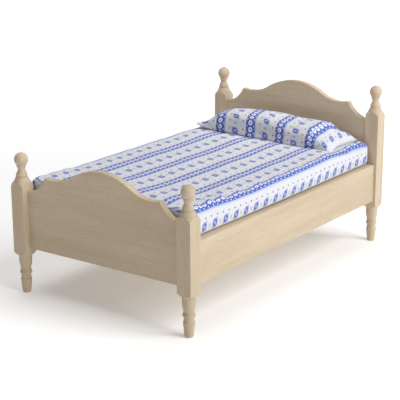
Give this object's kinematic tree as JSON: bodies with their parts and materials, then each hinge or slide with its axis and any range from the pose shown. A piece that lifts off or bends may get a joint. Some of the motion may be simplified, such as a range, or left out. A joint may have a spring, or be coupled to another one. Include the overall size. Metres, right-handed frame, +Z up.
{
  "type": "dolls house four poster bed",
  "caption": "Miniature bare wood bed with short turned corner posts and ball finials, arched head and foot boards, flat side rails, striped cotton mattress and a wide pillow.",
  "frame": {"origin": "on the floor, in the middle of the bed's footprint", "axes": "+Z up, +Y from the foot end to the head end, +X across the bed to the right as seen from the foot end"},
  "size_m": [0.115, 0.1904, 0.0933],
  "materials": {
    "bare_wood": "unfinished pale hardwood, fine grain, matt",
    "dowel_wood": "unfinished hardwood pin",
    "base_wood": "unfinished thin board and strips",
    "foam": "soft upholstery foam, matt",
    "filling": "soft fibre filling, matt",
    "printed_cotton": "fine white cotton printed with blue stripes, matt"
  },
  "bodies": {
    "frame": {"foot_post_left": "bare_wood", "foot_post_right": "bare_wood", "head_post_left": "bare_wood", "head_post_right": "bare_wood", "footboard": "bare_wood", "headboard": "bare_wood", "side_rail_left": "bare_wood", "side_rail_right": "bare_wood", "footboard_dowels": "dowel_wood", "headboard_dowels": "dowel_wood", "left_rail_dowels": "dowel_wood", "right_rail_dowels": "dowel_wood", "ledger_left": "base_wood", "ledger_right": "base_wood", "base_board": "base_wood"},
    "mattress": {"mattress_foam": "foam", "mattress_cover": "printed_cotton"},
    "pillow": {"pillow_filling": "filling", "pillow_cover": "printed_cotton"}
  },
  "joints": [
    {"name": "mattress_lift", "type": "slide", "parent": "frame", "child": "mattress", "axis": [0, 0, 1], "range_m": [0, 0.05]},
    {"name": "pillow_lift", "type": "slide", "parent": "mattress", "child": "pillow", "axis": [0, 0, 1], "range_m": [0, 0.03]}
  ]
}
